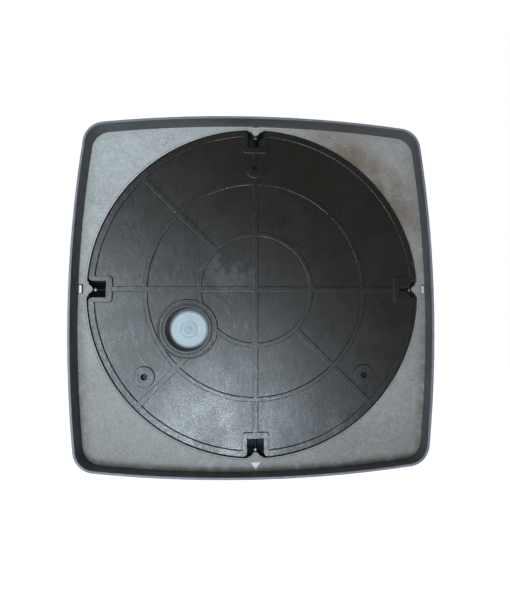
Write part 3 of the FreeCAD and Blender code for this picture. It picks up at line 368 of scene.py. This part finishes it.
def metal(name, low, high, rough, streak, scale):
    g = Graph(name)
    lines = g.noise(scale, 4.0, 0.6, vector=g.scaled(streak))
    cloud = g.noise(90.0, 3.0, 0.6)
    base = g.mix(g.ramp(lines, 0.3, 0.7), low, high)
    base = g.mix(g.ramp(cloud, 0.55, 0.8, 0.0, 0.4), base, tuple(0.6 * c for c in low))
    uneven = g.ramp(lines, 0.3, 0.7, rough - 0.06, rough + 0.08)
    return g.done(base, uneven, g.bump(lines, 0.2, 0.0001), metal=1.0)


def screw_steel():
    # bright where the shank passes the casing's noses, painted near black towards the point as shade inside
    # the notches
    g = Graph("screw_steel")
    lines = g.noise(900.0, 3.0, 0.6)
    bright = g.mix(g.ramp(lines, 0.3, 0.7), (0.62, 0.61, 0.58), (0.82, 0.81, 0.79))
    # painted shade: near black steel for the shank inside the notches
    notch_shade = g.mix(g.ramp(lines, 0.3, 0.7), (0.012, 0.011, 0.010), (0.040, 0.037, 0.034))
    x, _, z = g.axes()
    reach = g.math("MAXIMUM", g.math("ABSOLUTE", x), g.math("ABSOLUTE", z))
    base = g.mix(g.ramp(reach, *SCREW_BRIGHT_FROM), notch_shade, bright)
    return g.done(base, g.ramp(lines, 0.3, 0.7, 0.26, 0.42), g.bump(lines, 0.25, 0.0001), metal=0.9)


def zinc_pale():
    g = Graph("zinc_pale")
    cloud = g.noise(500.0, 4.0, 0.6)
    base = g.mix(g.ramp(cloud, 0.35, 0.7), (0.74, 0.73, 0.68), (0.88, 0.87, 0.83))
    return g.done(base, g.ramp(cloud, 0.3, 0.7, 0.35, 0.5), g.bump(cloud, 0.3, 0.0001), metal=0.25)


def steel_dark():
    # stacked steel sheets, seen on edge as fine lines across Y
    g = Graph("steel_dark")
    wave = g.math("SINE", g.mul(g.axes()[1], 2 * math.pi / SHEET_PITCH))
    dark_mottle = g.noise(300.0, 4.0, 0.6)
    base = g.mix(g.ramp(wave, -0.2, 0.9), (0.117, 0.1215, 0.1305), (0.26, 0.27, 0.29))
    base = g.mix(g.ramp(dark_mottle, 0.5, 0.8, 0.0, 0.5), base, (0.10, 0.06, 0.04))
    return g.done(base, g.ramp(dark_mottle, 0.3, 0.7, 0.35, 0.55), g.bump(wave, 0.4, 0.0001), metal=0.7)


def copper():
    # enamelled wire: slanting stripes stand in for the turns
    g = Graph("copper")
    x, y, z = g.axes()
    turns = g.math("SINE", g.mul(g.add(x, g.add(y, z)), 2 * math.pi / TURN_PITCH))
    tone = g.noise(500.0, 3.0)
    base = g.mix(g.ramp(turns, -0.6, 0.8), (0.20, 0.05, 0.015), (0.72, 0.28, 0.11))
    base = g.mix(g.ramp(tone, 0.5, 0.8, 0.0, 0.4), base, (0.40, 0.12, 0.04))
    return g.done(base, g.ramp(tone, 0.3, 0.7, 0.25, 0.4), g.bump(turns, 0.6, 0.0002), metal=0.85)


def pcb_green():
    # green solder mask over copper tracks, which are a net of straight runs
    g = Graph("pcb_green")
    cells = g.cell_edges(140.0, g.scaled((1.0, 0.0, 1.0)))
    track = g.ramp(cells, 0.02, 0.06, 1.0, 0.0)
    tone = g.noise(60.0, 3.0)
    base = g.mix(g.ramp(tone, 0.35, 0.7), (0.010, 0.095, 0.040), (0.014, 0.125, 0.052))
    base = g.mix(g.mul(track, 0.7), base, (0.030, 0.22, 0.085))
    return g.done(base, g.ramp(tone, 0.3, 0.7, 0.22, 0.34), g.bump(track, 0.3, 0.0001), Coat_Weight=0.4)


# Plain mouldings: the darker and the lighter end of their colour, and their roughness
PLASTICS = {
    "scroll_black": ((0.020, 0.021, 0.022), (0.034, 0.035, 0.037), 0.42),
    "magnet": ((0.045, 0.045, 0.048), (0.075, 0.075, 0.080), 0.55),
    "impeller_grey": ((0.085, 0.090, 0.095), (0.125, 0.130, 0.136), 0.44),
    "damper_rubber": ((0.018, 0.018, 0.018), (0.030, 0.030, 0.030), 0.75),
    "lead_brown": ((0.160, 0.045, 0.020), (0.220, 0.070, 0.030), 0.33),
    "terminal_white": ((0.660, 0.640, 0.560), (0.780, 0.760, 0.690), 0.40),
    "relay_black": ((0.016, 0.016, 0.017), (0.028, 0.028, 0.030), 0.36),
    "film_yellow": ((0.560, 0.360, 0.040), (0.680, 0.470, 0.070), 0.30),
    "can_blue": ((0.018, 0.035, 0.110), (0.030, 0.050, 0.150), 0.28),
    "trimmer_blue": ((0.020, 0.100, 0.360), (0.035, 0.140, 0.460), 0.35),
    "trimmer_white": ((0.700, 0.700, 0.670), (0.820, 0.820, 0.800), 0.38),
    "clamp_grey": ((0.260, 0.270, 0.280), (0.340, 0.350, 0.360), 0.45),
}

# Bare metals: the two ends of their colour, roughness, stretch and scale of the streaks
METALS = {
    "steel_bright": ((0.55, 0.56, 0.57), (0.74, 0.75, 0.76), 0.24, (1.0, 0.15, 1.0), 400.0),
    "rotor_steel": ((0.42, 0.43, 0.44), (0.58, 0.59, 0.60), 0.30, (1.0, 0.1, 1.0), 700.0),
    "flange_alu": ((0.50, 0.51, 0.52), (0.68, 0.69, 0.70), 0.42, (1.0, 1.0, 1.0), 900.0),
}


def materials():
    made = {
        "casing_grey": casing_grey(),
        "plate_black": plate_black(),
        "grommet_white": grommet_white(),
        "zinc_pale": zinc_pale(),
        "steel_dark": steel_dark(),
        "copper": copper(),
        "pcb_green": pcb_green(),
    }
    for name, look in PLASTICS.items():
        made[name] = plain_plastic(name, *look)
    for name, look in METALS.items():
        made[name] = metal(name, *look)
    return made


def dress_nodes():
    by_slot = materials()
    by_node = {"casing_screws": screw_steel()}
    for part in frame["record"]["subparts"]:
        node = part["node"]
        mesh = frame["nodes"][node].data
        mesh.materials.clear()
        mesh.materials.append(by_node.get(node, by_slot[part["material_slot"]]))


# ------------------------------------------------------------------ stage, light, camera

FLOOR_HALF = 12.0
FLOOR_Z = -1.1


def floor():
    # pale, and plain white where the camera sees it directly
    corners = [(x * FLOOR_HALF, y * FLOOR_HALF, FLOOR_Z) for x, y in ((-1, -1), (1, -1), (1, 1), (-1, 1))]
    mesh = bpy.data.meshes.new("floor")
    mesh.from_pydata(corners, [], [(0, 1, 2, 3)])
    obj = bpy.data.objects.new("floor", mesh)
    bpy.context.scene.collection.objects.link(obj)
    g = Graph("floor")
    tone = g.noise(3.0, 2.0)
    g.done(g.mix(g.ramp(tone, 0.3, 0.7), (0.84, 0.84, 0.84), (0.88, 0.88, 0.88)), 0.8)
    g.bsdf.inputs["Emission Color"].default_value = PAGE_WHITE
    path = g.nodes.new("ShaderNodeLightPath")
    g.link(path.outputs["Is Camera Ray"], g.bsdf.inputs["Emission Strength"])
    mesh.materials.append(g.mat)


def area(name, at, to, size, power, color=(1.0, 1.0, 1.0), shadow=True):
    data = bpy.data.lights.new(name, "AREA")
    data.shape = "RECTANGLE"
    data.size, data.size_y = size
    data.energy = power
    data.color = color
    data.use_shadow = shadow
    obj = bpy.data.objects.new(name, data)
    bpy.context.scene.collection.objects.link(obj)
    obj.location = at
    obj.rotation_euler = (Vector(to) - Vector(at)).to_track_quat("-Z", "Y").to_euler()
    obj.visible_camera = False


def lights():
    # the wall side has a cool key from low on its left and a fill that the rim doesn't shade
    wall_side = (0.0, 0.0, 0.0)
    area("key_low_left", (0.145, 1.0, -0.357), wall_side, (0.30, 0.30), 5.9, (0.80, 0.92, 1.0))
    area("fill_left", (0.585, 0.70, -0.014), wall_side, (0.35, 0.35), 3.35, (0.84, 0.95, 1.0), shadow=False)
    # the room side and the top
    room_side = (0.0, -0.05, 0.0)
    area("front_key", (-0.7, -1.1, 0.8), room_side, (0.9, 0.9), 26.0)
    area("front_fill", (0.9, -0.9, 0.1), room_side, (0.8, 0.8), 9.0)
    area("top", (0.0, -0.5, 1.3), (0.0, -0.1, 0.0), (1.0, 0.6), 6.0)


def world():
    # white where the camera sees it, a faint warm light for everything else
    studio = bpy.data.worlds.new("studio")
    bpy.context.scene.world = studio
    studio.use_nodes = True
    nodes, links = studio.node_tree.nodes, studio.node_tree.links
    back = nodes["Background"]
    back.inputs["Color"].default_value = (1.0, 0.96, 0.90, 1.0)
    back.inputs["Strength"].default_value = 0.075
    seen = nodes.new("ShaderNodeBackground")
    seen.inputs["Color"].default_value = PAGE_WHITE
    seen.inputs["Strength"].default_value = 1.0
    path = nodes.new("ShaderNodeLightPath")
    mix = nodes.new("ShaderNodeMixShader")
    links.new(path.outputs["Is Camera Ray"], mix.inputs[0])
    links.new(back.outputs[0], mix.inputs[1])
    links.new(seen.outputs[0], mix.inputs[2])
    links.new(mix.outputs[0], nodes["World Output"].inputs["Surface"])


def camera():
    data = bpy.data.cameras.new("camera")
    data.lens = LENS
    data.sensor_width = SENSOR
    data.shift_x, data.shift_y = SHIFT
    data.clip_start = 0.01
    data.clip_end = 50.0
    obj = bpy.data.objects.new("camera", data)
    bpy.context.scene.collection.objects.link(obj)
    turn = Matrix((CAM_RIGHT, CAM_UP, CAM_BACK)).transposed()
    obj.matrix_world = Matrix.Translation(CAM_AT) @ turn.to_4x4()
    bpy.context.scene.camera = obj


dress_nodes()
floor()
lights()
world()
camera()
bpy.context.scene.view_settings.view_transform = "Standard"
